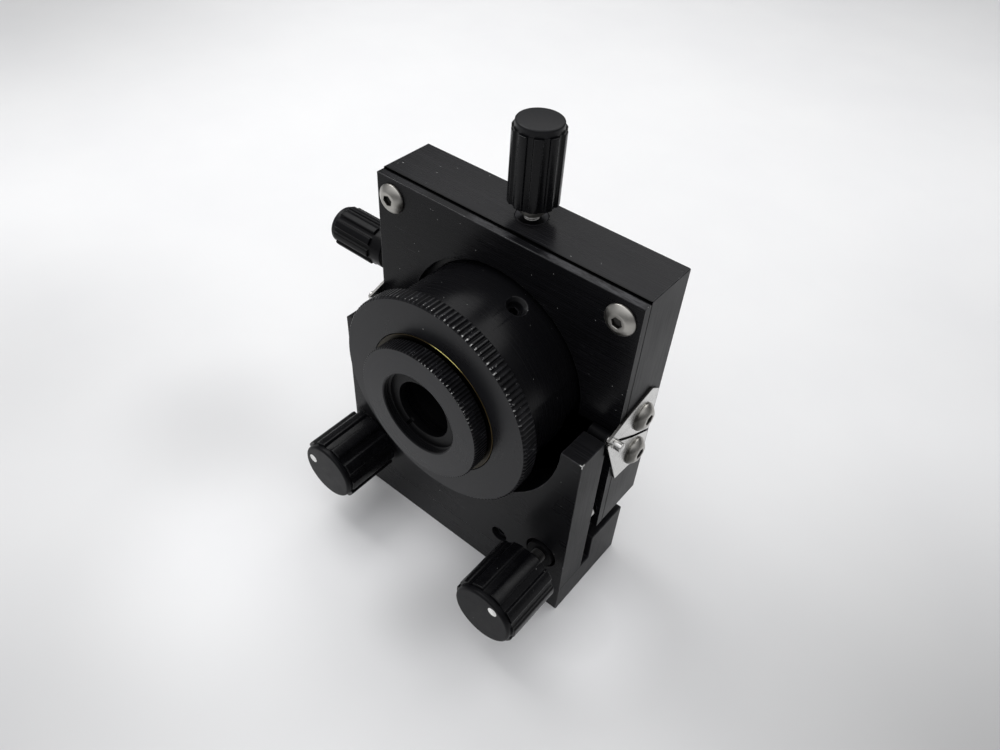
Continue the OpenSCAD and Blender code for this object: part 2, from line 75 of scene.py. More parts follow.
class Shade:
    """Small helper that wires procedural node graphs, in millimetres of the object's own space."""

    def __init__(self, name, base, rough, metallic=0.0, spec=0.5, coat=0.0, coat_rough=0.1, aniso=0.0):
        self.m = bpy.data.materials.new(name)
        self.m.use_nodes = True
        self.t = self.m.node_tree
        self.t.nodes.clear()
        self.out = self.n("ShaderNodeOutputMaterial")
        self.b = self.n("ShaderNodeBsdfPrincipled")
        self.link(self.b.outputs[0], self.out.inputs[0])
        self.set("Base Color", (*base, 1))
        self.set("Roughness", rough)
        self.set("Metallic", metallic)
        self.set("Specular IOR Level", spec)
        self.set("Coat Weight", coat)
        self.set("Coat Roughness", coat_rough)
        self.set("Anisotropic", aniso)
        self.base, self.rough = base, rough
        tc = self.n("ShaderNodeTexCoord")
        mp = self.n("ShaderNodeMapping")
        mp.inputs["Scale"].default_value = (1000, 1000, 1000)
        self.link(tc.outputs["Object"], mp.inputs["Vector"])
        self.p = mp.outputs["Vector"]
        self.height = None

    def n(self, kind):
        return self.t.nodes.new(kind)

    def link(self, a, b):
        self.t.links.new(a, b)

    def set(self, socket, value):
        self.b.inputs[socket].default_value = value

    def feed(self, sock, value):
        if isinstance(value, (int, float, tuple, list)):
            sock.default_value = value
        else:
            self.link(value, sock)

    def math(self, op, a, b=0.0, c=None, clamp=False):
        x = self.n("ShaderNodeMath")
        x.operation = op
        x.use_clamp = clamp
        self.feed(x.inputs[0], a)
        self.feed(x.inputs[1], b)
        if c is not None:
            self.feed(x.inputs[2], c)
        return x.outputs[0]

    def moved(self, centre=(0, 0, 0), scale=(1, 1, 1), rot=(0, 0, 0)):
        """The coordinate with its origin at centre, then scaled axis by axis."""
        a = self.n("ShaderNodeVectorMath")
        a.operation = "SUBTRACT"
        self.link(self.p, a.inputs[0])
        a.inputs[1].default_value = centre
        mp = self.n("ShaderNodeMapping")
        mp.inputs["Rotation"].default_value = rot
        mp.inputs["Scale"].default_value = scale
        self.link(a.outputs[0], mp.inputs["Vector"])
        return mp.outputs[0]

    def noise(self, vec, scale=1.0, detail=2.0, rough=0.5, lo=None, hi=None, dist=0.0):
        x = self.n("ShaderNodeTexNoise")
        x.inputs["Scale"].default_value = scale
        x.inputs["Detail"].default_value = detail
        x.inputs["Roughness"].default_value = rough
        x.inputs["Distortion"].default_value = dist
        self.link(vec, x.inputs["Vector"])
        v = x.outputs["Fac"]
        return v if lo is None else self.span(v, lo, hi)

    def span(self, v, lo, hi, a=0.0, b=1.0, smooth=False):
        x = self.n("ShaderNodeMapRange")
        x.clamp = True
        if smooth:
            x.interpolation_type = "SMOOTHSTEP"
        self.feed(x.inputs["Value"], v)
        x.inputs["From Min"].default_value = lo
        x.inputs["From Max"].default_value = hi
        x.inputs["To Min"].default_value = a
        x.inputs["To Max"].default_value = b
        return x.outputs["Result"]

    def specks(self, scale, size, share, seed=0.0, aspect=(1, 1, 1)):
        """1 inside small scattered dots. scale is cells per mm, size the dot's radius in cells, share the share of cells that hold one."""
        vec = self.moved((seed, seed * 1.7, -seed), aspect)
        v = self.n("ShaderNodeTexVoronoi")
        v.inputs["Scale"].default_value = scale
        self.link(vec, v.inputs["Vector"])
        sep = self.n("ShaderNodeSeparateColor")
        self.link(v.outputs["Color"], sep.inputs[0])
        pick = self.math("GREATER_THAN", sep.outputs[0], 1 - share)
        dot = self.math("LESS_THAN", v.outputs["Distance"], self.math("MULTIPLY", sep.outputs[1], size))
        return self.math("MULTIPLY", pick, dot)

    def mix(self, fac, a, b):
        x = self.n("ShaderNodeMix")
        x.data_type = "RGBA"
        self.feed(x.inputs[0], fac)
        self.feed(x.inputs[6], (*a, 1) if isinstance(a, tuple) and len(a) == 3 else a)
        self.feed(x.inputs[7], (*b, 1) if isinstance(b, tuple) and len(b) == 3 else b)
        return x.outputs[2]

    def color(self, v):
        self.link(v, self.b.inputs["Base Color"])

    def roughness(self, v):
        self.link(v, self.b.inputs["Roughness"])

    def metal(self, v):
        self.link(v, self.b.inputs["Metallic"])

    def bump(self, v, mm, strength=1.0):
        """Adds relief of that many millimetres."""
        h = self.math("MULTIPLY", v, mm * MM)
        self.height = h if self.height is None else self.math("ADD", self.height, h)
        self.strength = strength

    def done(self):
        if self.height is not None:
            x = self.n("ShaderNodeBump")
            x.inputs["Distance"].default_value = 1.0
            x.inputs["Strength"].default_value = self.strength
            self.link(self.height, x.inputs["Height"])
            self.link(x.outputs[0], self.b.inputs["Normal"])
        return self.m


def face_mask(s, axis, sign=None, lo=0.6, hi=0.9):
    """1 on faces whose own normal looks along that axis."""
    g = s.n("ShaderNodeNewGeometry")
    sep = s.n("ShaderNodeSeparateXYZ")
    s.link(g.outputs["Normal"], sep.inputs[0])
    v = sep.outputs["XYZ".index(axis)]
    if sign is None:
        v = s.math("ABSOLUTE", v)
    elif sign < 0:
        v = s.math("MULTIPLY", v, -1.0)
    return s.span(v, lo, hi)


def anodised(name, base=(0.012, 0.012, 0.013), rough=0.36, spec=0.2, lines=1.0, tooth=1.0, scratch=0.5, dust=0.012,
             turned=False, centre=None, chips=(), rim=(), side=0.13, bore=0.0, seam=None):
    """Black anodised aluminium: brushed or turned relief, fine blasted tooth, faint fading, hair scratches and dust."""
    s = Shade(name, base, rough, 0.0, spec)
    if turned:
        c = s.moved(centre or tuple(AXIS))
        sep = s.n("ShaderNodeSeparateXYZ")
        s.link(c, sep.inputs[0])
        r = s.math("SQRT", s.math("ADD", s.math("MULTIPLY", sep.outputs[0], sep.outputs[0]), s.math("MULTIPLY", sep.outputs[2], sep.outputs[2])))
        comb = s.n("ShaderNodeCombineXYZ")
        s.link(s.math("MULTIPLY", r, 12.0), comb.inputs[0])
        s.link(s.math("MULTIPLY", sep.outputs[1], 12.0), comb.inputs[1])
        fine = s.noise(comb.outputs[0], 1.0, 2.0, 0.6)
        wide = s.noise(comb.outputs[0], 0.22, 2.0, 0.6)
    else:
        k = face_mask(s, "X")

        def grain(seed, long_, cross, detail):
            x = s.noise(s.moved(seed, (long_, cross, cross)), 1.0, detail, 0.6)
            z = s.noise(s.moved(seed, (cross, cross, long_)), 1.0, detail, 0.6)
            m = s.n("ShaderNodeMix")
            s.link(k, m.inputs[0])
            s.link(x, m.inputs[2])
            s.link(z, m.inputs[3])
            return m.outputs[0]

        fine = grain((3.1, 7.7, 1.3), 0.12, 8.0, 3.0)
        wide = grain((9.4, 2.2, 5.1), 0.05, 2.2, 2.0)
    s.bump(fine, 0.0013 * lines)
    s.bump(wide, 0.0012 * lines)
    if tooth > 0:
        s.bump(s.noise(s.moved(), 10.0, 2.0, 0.6), 0.0006 * tooth)
    fade = s.noise(s.moved((1, 2, 3)), 0.10, 3.0, 0.55, 0.35, 0.7)
    streak = s.span(fine, 0.50, 0.72)
    broad = s.span(wide, 0.52, 0.74)
    col = s.mix(s.math("MULTIPLY", fade, 0.55), base, tuple(c * 1.5 for c in base))
    col = s.mix(s.math("MULTIPLY", streak, min(1.0, 0.45 * lines)), col, tuple(c * 2.1 for c in base))
    col = s.mix(s.math("MULTIPLY", broad, min(1.0, 0.40 * lines)), col, tuple(c * 2.0 for c in base))
    # hair scratches that cut through the dye
    if scratch > 0:
        h = s.noise(s.moved((5, 1, 8), (0.20, 15.0, 15.0), (0.03, 0.05, 0.04)), 1.0, 1.0, 0.4)
        gate = s.noise(s.moved((8, 3, 2)), 0.30, 2.0, 0.5, 0.50, 0.62)
        hair = s.math("MULTIPLY", s.span(h, 0.735, 0.775), gate)
        h2 = s.noise(s.moved((1, 9, 4), (11.0, 11.0, 0.5), (0.5, 0.35, 0.2)), 1.0, 1.0, 0.4)
        gate2 = s.noise(s.moved((2, 5, 9)), 0.22, 2.0, 0.5, 0.58, 0.68)
        hair = s.math("MAXIMUM", hair, s.math("MULTIPLY", s.span(h2, 0.77, 0.80), gate2))
        col = s.mix(s.math("MULTIPLY", hair, scratch), col, (0.12, 0.12, 0.125))
        s.bump(hair, -0.003)
    metal = None
    # bare metal at the listed places; the one on the front plate is a painted highlight
    for (at, size, amount) in chips:
        d = s.n("ShaderNodeVectorMath")
        d.operation = "DISTANCE"
        s.link(s.p, d.inputs[0])
        d.inputs[1].default_value = at
        rag = s.noise(s.moved((6, 6, 1)), 5.0, 3.0, 0.6)
        near = s.span(s.math("ADD", d.outputs["Value"], s.math("MULTIPLY", s.math("SUBTRACT", rag, 0.5), size * 1.2)), size * 0.8, size, amount, 0.0)
        metal = near if metal is None else s.math("MAXIMUM", metal, near)
    if metal is not None:
        col = s.mix(metal, col, (0.62, 0.62, 0.61))
        s.metal(s.math("MULTIPLY", metal, 0.85))
    if dust > 0:
        d = s.specks(1.1, 0.13, dust, 3.3)
        d2 = s.specks(2.3, 0.17, dust * 0.55, 9.1, (1, 1.5, 0.8))
        d = s.math("MAXIMUM", d, d2)
        up_ = face_mask(s, "Z", 1, 0.3, 0.9)
        d = s.math("MULTIPLY", d, s.math("ADD", s.math("MULTIPLY", up_, 0.3), 0.6))
        col = s.mix(d, col, (0.55, 0.55, 0.54))
        s.bump(d, 0.01)
    if rim:
        # the narrow top face, rubbed thin along parts of its length
        sx = s.n("ShaderNodeSeparateXYZ")
        s.link(s.p, sx.inputs[0])
        rub = None
        for (x0, x1, amount) in rim:
            a = s.math("MULTIPLY", s.span(sx.outputs[0], x0 - 0.8, x0 + 0.8, 0.0, amount), s.span(sx.outputs[0], x1 - 0.8, x1 + 0.8, 1.0, 0.0))
            rub = a if rub is None else s.math("MAXIMUM", rub, a)
        rag = s.noise(s.moved((3, 1, 6), (0.8, 3.0, 3.0)), 1.0, 4.0, 0.65, 0.30, 0.62)
        rub = s.math("MULTIPLY", s.math("MULTIPLY", rub, rag), face_mask(s, "Z", 1, 0.5, 0.9))
        col = s.mix(rub, col, (0.050, 0.050, 0.054))
    if seam is not None:
        # painted shade beside the joint between two plates, standing in for the shadow in the gap
        sq = s.n("ShaderNodeSeparateXYZ")
        s.link(s.p, sq.inputs[0])
        col = s.mix(s.span(s.math("ABSOLUTE", s.math("SUBTRACT", sq.outputs[1], seam)), 0.20, 0.32, 0.9, 0.0), col, (0.0006, 0.0006, 0.0007))
    s.color(col)
    rr = s.math("ADD", s.math("MULTIPLY", s.math("SUBTRACT", streak, 0.35), 0.10 * lines), rough)
    rr = s.math("ADD", rr, s.math("MULTIPLY", s.math("SUBTRACT", fade, 0.5), 0.07))
    if bore > 0:
        # painted shade inside the bore: darker colour and a weaker reflection inside that radius
        deep = s.span(r, bore - 0.12, bore + 0.02, 1.0, 0.0)
        col = s.mix(deep, col, tuple(c * 0.5 for c in base))
        s.color(col)
        s.link(s.span(deep, 0.0, 1.0, spec, spec * 0.55), s.b.inputs["Specular IOR Level"])
    if not turned and side:
        rr = s.math("ADD", rr, s.math("MULTIPLY", k, side))
        s.link(s.span(k, 0.0, 1.0, spec, spec * 1.0), s.b.inputs["Specular IOR Level"])
    s.roughness(rr)
    return s.done()


def worn_edge(name, base=(0.03, 0.03, 0.032), rough=0.36, chips=0.12, spec=0.3, spots=(), zones=(), seam=None):
    """The bevelled edges of the anodised parts: thinner dye, and bare metal where they were knocked."""
    s = Shade(name, base, rough, 0.0, spec)
    a = s.noise(s.moved((4, 4, 4)), 0.55, 3.0, 0.6)
    b = s.noise(s.moved((7, 1, 5)), 4.0, 3.0, 0.65)
    thin = s.span(a, 0.46, 0.66)
    chip = s.math("MULTIPLY", s.span(b, 0.66 - chips * 0.3, 0.70 - chips * 0.3), s.span(a, 0.54, 0.62))
    for (at, size, amount) in spots:
        d = s.n("ShaderNodeVectorMath")
        d.operation = "DISTANCE"
        s.link(s.p, d.inputs[0])
        d.inputs[1].default_value = at
        near = s.span(s.math("ADD", d.outputs["Value"], s.math("MULTIPLY", s.math("SUBTRACT", b, 0.5), size * 1.4)), size * 0.75, size, amount, 0.0)
        chip = s.math("MAXIMUM", chip, near)
    for (at, size, lo, front) in zones:
        d = s.n("ShaderNodeVectorMath")
        d.operation = "DISTANCE"
        s.link(s.p, d.inputs[0])
        d.inputs[1].default_value = at
        fine = s.noise(s.moved((2, 9, 4)), 2.6, 3.0, 0.65, lo, lo + 0.05)
        sy = s.n("ShaderNodeSeparateXYZ")
        s.link(s.p, sy.inputs[0])
        near = s.math("MULTIPLY", s.span(d.outputs["Value"], size * 0.55, size, 1.0, 0.0), s.span(sy.outputs[1], front - 0.15, front + 0.15, 1.0, 0.0))
        near = s.math("MULTIPLY", near, s.span(sy.outputs[1], front - 0.70, front - 0.60, 0.0, 1.0))
        chip = s.math("MAXIMUM", chip, s.math("MULTIPLY", fine, near))
    col = s.mix(thin, base, tuple(c * 2.2 for c in base))
    col = s.mix(chip, col, (0.50, 0.50, 0.49))
    if seam is not None:
        # painted shade in the joint between two plates, standing in for the shadow in the gap
        sy = s.n("ShaderNodeSeparateXYZ")
        s.link(s.p, sy.inputs[0])
        m = s.span(s.math("ABSOLUTE", s.math("SUBTRACT", sy.outputs[1], seam)), 0.15, 0.24, 1.0, 0.0)
        col = s.mix(m, col, (0.0006, 0.0006, 0.0007))
        s.link(s.span(m, 0.0, 1.0, spec, 0.01), s.b.inputs["Specular IOR Level"])
    s.color(col)
    s.metal(s.math("MULTIPLY", chip, 0.85))
    s.roughness(s.span(b, 0.3, 0.7, rough - 0.06, rough + 0.1))
    s.bump(b, 0.003)
    return s.done()


def steel(name, base=(0.60, 0.595, 0.58), rough=0.26, grain=(9, 9, 0.6), depth=0.0004, stain=0.12, spots=0.0, sheared=None, shade=None):
    """Bright or blackened steel with fine drawing lines, light stains and pits."""
    s = Shade(name, base, rough, 1.0, 0.5)
    a = s.noise(s.moved((2, 6, 1), grain), 1.0, 3.0, 0.6)
    b = s.noise(s.moved((3, 3, 9)), 0.5, 4.0, 0.6)
    c = s.noise(s.moved((6, 2, 2)), 9.0, 2.0, 0.6)
    col = s.mix(s.math("MULTIPLY", s.span(b, 0.5, 0.8), stain), base, tuple(x * 0.5 for x in base))
    col = s.mix(s.math("MULTIPLY", s.span(a, 0.5, 0.75), 0.25), col, tuple(min(1.0, x * 1.2) for x in base))
    if spots > 0:
        d = s.specks(2.2, 0.2, spots, 4.4)
        col = s.mix(d, col, tuple(x * 0.25 for x in base))
    if sheared:
        # the cut edges of a punched leaf, the faces not looking along X, are coloured much darker than its flat faces
        col = s.mix(face_mask(s, "X", None, 0.35, 0.75), sheared, col)
    if shade:
        # a painted dark tone on the front half of a domed head, in place of a dark reflection
        col = s.mix(face_mask(s, "Y", -1, 0.34, 0.78), col, shade)
    s.color(col)
    s.roughness(s.span(s.math("ADD", s.math("MULTIPLY", a, 0.6), s.math("MULTIPLY", b, 0.4)), 0.3, 0.7, rough - 0.05, rough + 0.09))
    s.bump(a, depth)
    s.bump(c, depth * 0.4)
    return s.done()


def brass(name, base=(0.66, 0.47, 0.20), rough=0.26, shaded_highlit=False):
    """Turned brass. shaded_highlit: painted shade, dark brown all over, and a painted highlight along the upper right
    of the rim.
    """
    s = Shade(name, base, rough, 1.0, 0.5)
    c = s.moved(tuple(AXIS))
    sep = s.n("ShaderNodeSeparateXYZ")
    s.link(c, sep.inputs[0])
    r = s.math("SQRT", s.math("ADD", s.math("MULTIPLY", sep.outputs[0], sep.outputs[0]), s.math("MULTIPLY", sep.outputs[2], sep.outputs[2])))
    comb = s.n("ShaderNodeCombineXYZ")
    s.link(s.math("MULTIPLY", r, 10.0), comb.inputs[0])
    s.link(s.math("MULTIPLY", sep.outputs[1], 10.0), comb.inputs[1])
    a = s.noise(comb.outputs[0], 1.0, 2.0, 0.6)
    b = s.noise(s.moved((3, 3, 9)), 0.5, 4.0, 0.6)
    col = s.mix(s.span(b, 0.4, 0.75), base, (0.36, 0.24, 0.09))
    if shaded_highlit:
        # painted highlight: brightest towards the upper right, gone at the left and at the bottom
        lean = s.math("ADD", s.math("MULTIPLY", sep.outputs[0], 0.055), s.math("MULTIPLY", sep.outputs[2], 0.065))
        peak = s.span(s.math("ADD", s.math("MULTIPLY", sep.outputs[0], 0.022), s.math("MULTIPLY", sep.outputs[2], 0.0835)), 0.965, 0.995)
        rim = s.span(r, 11.53, 11.61)
        bright = s.span(s.math("ADD", lean, s.math("MULTIPLY", s.math("SUBTRACT", b, 0.5), 0.5)), -0.05, 1.05, 0.0, 0.15)
        bright = s.math("MULTIPLY", s.math("MAXIMUM", bright, peak), rim)
        bright = s.math("MAXIMUM", bright, s.math("MULTIPLY", s.span(sep.outputs[1], -15.4, -15.0), s.span(r, 11.3, 11.5)))
        # a painted glint where the highlight peaks, at the rim's front edge
        glint = s.math("MULTIPLY", s.math("MULTIPLY", peak, rim), s.span(sep.outputs[1], -18.08, -17.98, 1.0, 0.0))
        col = s.mix(glint, col, (0.95, 0.86, 0.30))
        # painted shade: dark brown wherever the highlight mask is off
        col = s.mix(bright, (0.018, 0.0145, 0.008), col)
    s.color(col)
    s.roughness(s.span(b, 0.3, 0.7, rough, rough + 0.16))
    s.bump(a, 0.001)
    return s.done()


def plastic(name, base, rough, spec=0.5, tooth=0.0003, dust=0.012, scuff=0.3):
    """Moulded plastic: nearly smooth, with flow marks, fine scuffs and dust."""
    s = Shade(name, base, rough, 0.0, spec)
    a = s.noise(s.moved((2, 6, 1)), 6.0, 3.0, 0.6)
    b = s.noise(s.moved((4, 3, 9)), 0.5, 3.0, 0.6)
    c = s.noise(s.moved((1, 8, 3), (2.0, 9.0, 7.0), (0.3, 0.5, 0.2)), 1.0, 3.0, 0.6)
    col = s.mix(s.span(b, 0.4, 0.75), base, tuple(c_ * 1.5 for c_ in base))
    if scuff > 0:
        col = s.mix(s.math("MULTIPLY", s.span(c, 0.60, 0.72), scuff), col, tuple(c_ * 3.0 for c_ in base))
    if dust > 0:
        d = s.math("MAXIMUM", s.specks(1.4, 0.12, dust, 5.3), s.specks(2.9, 0.16, dust * 0.6, 2.1))
        col = s.mix(s.math("MULTIPLY", d, 0.7), col, (0.38, 0.38, 0.37))
        s.bump(d, 0.008)
    s.color(col)
    s.roughness(s.span(s.math("ADD", s.math("MULTIPLY", b, 0.6), s.math("MULTIPLY", c, 0.4)), 0.3, 0.7, rough - 0.05, rough + 0.1))
    s.bump(a, tooth)
    return s.done()


M = {}
M["cover"] = anodised("cover_anodise", (0.0042, 0.0042, 0.0049), 0.30, 0.12, 1.6, 0.8, 0.5, 0.045, seam=-2.8, rim=((-5.6, 1.6, 0.8), (7.4, 23.4, 1.0), (-23, -14, 0.25)))
M["block"] = anodised("block_anodise", (0.0080, 0.0080, 0.0090), 0.30, 0.14, 1.35, 1.0, 0.3, 0.035, seam=-2.8)
# the bare spot beside the front plate's hole is a painted highlight, a glint
M["plate"] = anodised("plate_anodise", (0.0062, 0.0062, 0.0070), 0.32, 0.13, 1.1, 1.0, 0.45, 0.03, chips=(((11.75, -12.93, 9.3), 0.30, 0.9),))
M["base"] = anodised("base_anodise", (0.0075, 0.0075, 0.0085), 0.32, 0.14, 0.9, 1.0, 0.35, 0.010)
# painted shade: darker and duller than the other anodised parts, for the yoke and lug in the gaps behind the plates
M["yoke"] = anodised("yoke_anodise", (0.003, 0.003, 0.0036), 0.48, 0.05, 0.9, 1.0, 0.2, 0.0)
M["slide"] = anodised("slide_anodise", (0.006, 0.006, 0.0068), 0.40, 0.14, 0.8, 1.0, 0.1, 0.0)
M["barrel"] = anodised("barrel_anodise", (0.0040, 0.0040, 0.0047), 0.29, 0.14, 0.8, 1.0, 0.12, 0.045, turned=True)
M["ring"] = anodised("ring_anodise", (0.0085, 0.0085, 0.0098), 0.32, 0.22, 0.7, 1.4, 0.15, 0.008, turned=True)
M["cell"] = anodised("cell_anodise", (0.010, 0.010, 0.0115), 0.32, 0.24, 0.7, 1.4, 0.15, 0.006, turned=True, bore=6.95)
# painted shade: a much darker anodise for the retaining ring deep in the bore
M["deep"] = anodised("deep_anodise", (0.0022, 0.0022, 0.0026), 0.42, 0.10, 1.6, 1.0, 0.0, 0.0, turned=True)
M["edge"] = worn_edge("worn_edge", (0.012, 0.012, 0.0132), 0.32, 0.05, 0.25)
M["edge_seam"] = worn_edge("seam_edge", (0.012, 0.012, 0.0132), 0.32, 0.05, 0.25, seam=-2.8)
M["plate_edge"] = worn_edge("plate_edge", (0.012, 0.012, 0.0132), 0.32, 0.05, 0.25, (((23.4, -12.85, 37.9), 0.55, 1.0),))
M["edge_soft"] = worn_edge("soft_edge", (0.008, 0.008, 0.009), 0.34, 0.02, 0.2)
# painted shade in the knurl's grooves: darker and less glossy than the crests
M["groove"] = worn_edge("knurl_groove", (0.0035, 0.0035, 0.0042), 0.42, 0.0, 0.10)
M["knurl"] = worn_edge("knurl_crest", (0.0075, 0.0075, 0.0086), 0.30, 0.02, 0.19, (),
                       (((10.0, -18.1, 52.0), 11.0, 0.50, -17.75), ((-3.0, -18.1, 55.2), 6.0, 0.56, -17.2), ((6.0, -21.0, 47.0), 7.0, 0.52, -20.8)))

M["steel"] = steel("stainless")
M["leaf"] = steel("leaf_steel", (0.66, 0.655, 0.64), 0.24, (0.5, 12, 0.8), 0.0005, 0.25, 0.03, sheared=(0.085, 0.083, 0.08))
M["bolt"] = steel("screw_steel", (0.40, 0.388, 0.362), 0.32, (2.5, 2.5, 2.5), 0.0004, 0.10, 0.01)
M["bolt_side"] = steel("side_screw_steel", (0.40, 0.388, 0.362), 0.28, (2.5, 2.5, 2.5), 0.0004, 0.10, 0.01, shade=(0.07, 0.068, 0.062))
M["rod"] = steel("rod_steel", (0.42, 0.415, 0.40), 0.3, (4, 4, 4), 0.0004, 0.3)
# painted shade: near-black steel for the tilt screws, which sit in shade behind the knobs
M["rod_dark"] = steel("rod_shaded", (0.055, 0.054, 0.053), 0.34, (4, 4, 4), 0.0004, 0.4)
# painted shade: a dark steel for the inside of the hex sockets
M["socket"] = steel("socket_shade", (0.075, 0.072, 0.068), 0.48, (4, 4, 4), 0.0006, 0.5)
M["dark"] = steel("blackened_steel", (0.030, 0.030, 0.033), 0.34, (5, 5, 5), 0.0006, 0.3)
M["black"] = anodised("black_oxide", (0.0045, 0.0045, 0.005), 0.46, 0.09, 0.6, 1.0, 0.1, 0.0, side=0.0)
M["brass"] = brass("brass")
M["brass_shaded_highlit"] = brass("brass_shaded_highlit", shaded_highlit=True)
M["knob"] = plastic("knob_plastic", (0.0030, 0.0030, 0.0036), 0.24, 0.18, 0.00025, 0.03, 0.35)
# painted shade: a darker, less glossy copy of the knob plastic, used on the X knob
M["knob_side"] = plastic("knob_plastic_shaded", (0.0022, 0.0022, 0.0027), 0.32, 0.10, 0.00025, 0.02, 0.3)
M["cap"] = plastic("cap_plastic", (0.006, 0.006, 0.007), 0.36, 0.18, 0.0008, 0.03, 0.5)
M["cap_tilt"] = plastic("cap_plastic_tilt", (0.0032, 0.0032, 0.004), 0.36, 0.11, 0.0008, 0.02, 0.5)
M["mark"] = plastic("white_mark", (0.78, 0.78, 0.76), 0.40, 0.4, 0.0006, 0.0, 0.0)

# ---------------------------------------------------------------- mesh code


def make(name, bm, body, mats, nodes=(), angle=32, weighted=True):
    """Turns a bmesh in millimetres into a piece in metres that rides on a body and stands for those nodes."""
    bmesh.ops.remove_doubles(bm, verts=bm.verts, dist=1e-5)
    bmesh.ops.recalc_face_normals(bm, faces=bm.faces)
    for f in bm.faces:
        f.smooth = True
    lim = math.radians(angle)
    for e in bm.edges:
        if len(e.link_faces) == 2 and e.calc_face_angle(0.0) > lim:
            e.smooth = False
    bmesh.ops.scale(bm, vec=(MM, MM, MM), verts=bm.verts)
    me = bpy.data.meshes.new(name)
    bm.to_mesh(me)
    bm.free()
    ob = bpy.data.objects.new(name, me)
    scene.collection.objects.link(ob)
    for m in (mats if isinstance(mats, (list, tuple)) else [mats]):
        me.materials.append(m)
    if weighted:
        w = ob.modifiers.new("normals", "WEIGHTED_NORMAL")
        w.keep_sharp = True
    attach(ob, body)
    if nodes:
        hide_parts(*nodes)
    return ob


def rounded(points, closed=False, seg=4):
    """A profile with rounded corners. points are (r, t) or (r, t, radius)."""
    pts = [(p[0], p[1], p[2] if len(p) > 2 else 0.0) for p in points]
    n = len(pts)
    out = []
    for i, (r, t, f) in enumerate(pts):
        if f <= 0 or (not closed and i in (0, n - 1)):
            out.append((r, t))
            continue
        a, b = pts[(i - 1) % n], pts[(i + 1) % n]
        pa, pb = Vector((a[0] - r, a[1] - t)), Vector((b[0] - r, b[1] - t))
        da, db = min(f, pa.length * 0.49), min(f, pb.length * 0.49)
        p0, p2 = Vector((r, t)) + pa.normalized() * da, Vector((r, t)) + pb.normalized() * db
        p1 = Vector((r, t))
        for k in range(seg + 1):
            u = k / seg
            q = p0 * (1 - u) ** 2 + p1 * 2 * u * (1 - u) + p2 * u ** 2
            out.append((q.x, q.y))
    return out


def frame_of(axis, ref=None):
    a = Vector(axis).normalized()
    if ref is None:
        ref = Vector((0, 0, 1)) if abs(a.z) < 0.9 else Vector((1, 0, 0))
    ref = Vector(ref)
    u = (ref - a * ref.dot(a)).normalized()
    return a, u, a.cross(u)


def revolve(bm, centre, axis, profile, n=96, closed=False, limit=None, ref=None, angles=None, mat=0, mat_of=None):
    """Turns a profile of (r, t) round the axis. limit(angle, t) cuts the radius down, for teeth and ribs."""
    a, u, v = frame_of(axis, ref)
    c = Vector(centre)
    angles = angles or [TAU * i / n for i in range(n)]
    rings = []
    for (r, t) in profile:
        if r < 1e-6:
            rings.append([bm.verts.new(c + a * t)])
            continue
        ring = []
        for th in angles:
            q = min(r, limit(th, t)) if limit else r
            ring.append(bm.verts.new(c + a * t + (u * math.cos(th) + v * math.sin(th)) * q))
        rings.append(ring)
    m = len(angles)
    pairs = [(i, i + 1) for i in range(len(rings) - 1)] + ([(len(rings) - 1, 0)] if closed else [])
    for i, j in pairs:
        A, B = rings[i], rings[j]
        for k in range(m):
            k2 = (k + 1) % m
            if len(A) == 1 and len(B) == 1:
                continue
            if len(A) == 1:
                vs = (A[0], B[k], B[k2])
            elif len(B) == 1:
                vs = (A[k], B[0], A[k2])
            else:
                vs = (A[k], B[k], B[k2], A[k2])
            f = bm.faces.new(vs)
            f.material_index = mat_of(i, k) if mat_of else mat
    return rings


def tooth_angles(count, steps):
    """Angles of the vertices of a toothed ring, and each one's place in its tooth, 0 at its start."""
    out = []
    for i in range(count):
        for s in steps:
            out.append((TAU * (i + s) / count, s))
    return out


def tube_path(bm, pts, r, sides=12):
    """A round wire along a line of points, closed at both ends."""
    n = len(pts)
    last = None
    prev_u = None
    for i, p in enumerate(pts):
        d = (pts[min(i + 1, n - 1)] - pts[max(i - 1, 0)]).normalized()
        if prev_u is None:
            prev_u = Vector((0, 0, 1)) if abs(d.z) < 0.9 else Vector((1, 0, 0))
        u = (prev_u - d * prev_u.dot(d)).normalized()
        prev_u = u
        v = d.cross(u)
        ring = [bm.verts.new(p + (u * math.cos(TAU * k / sides) + v * math.sin(TAU * k / sides)) * r) for k in range(sides)]
        if last:
            for k in range(sides):
                bm.faces.new((last[k], ring[k], ring[(k + 1) % sides], last[(k + 1) % sides]))
        else:
            bm.faces.new(list(reversed(ring)))
        last = ring
    bm.faces.new(last)


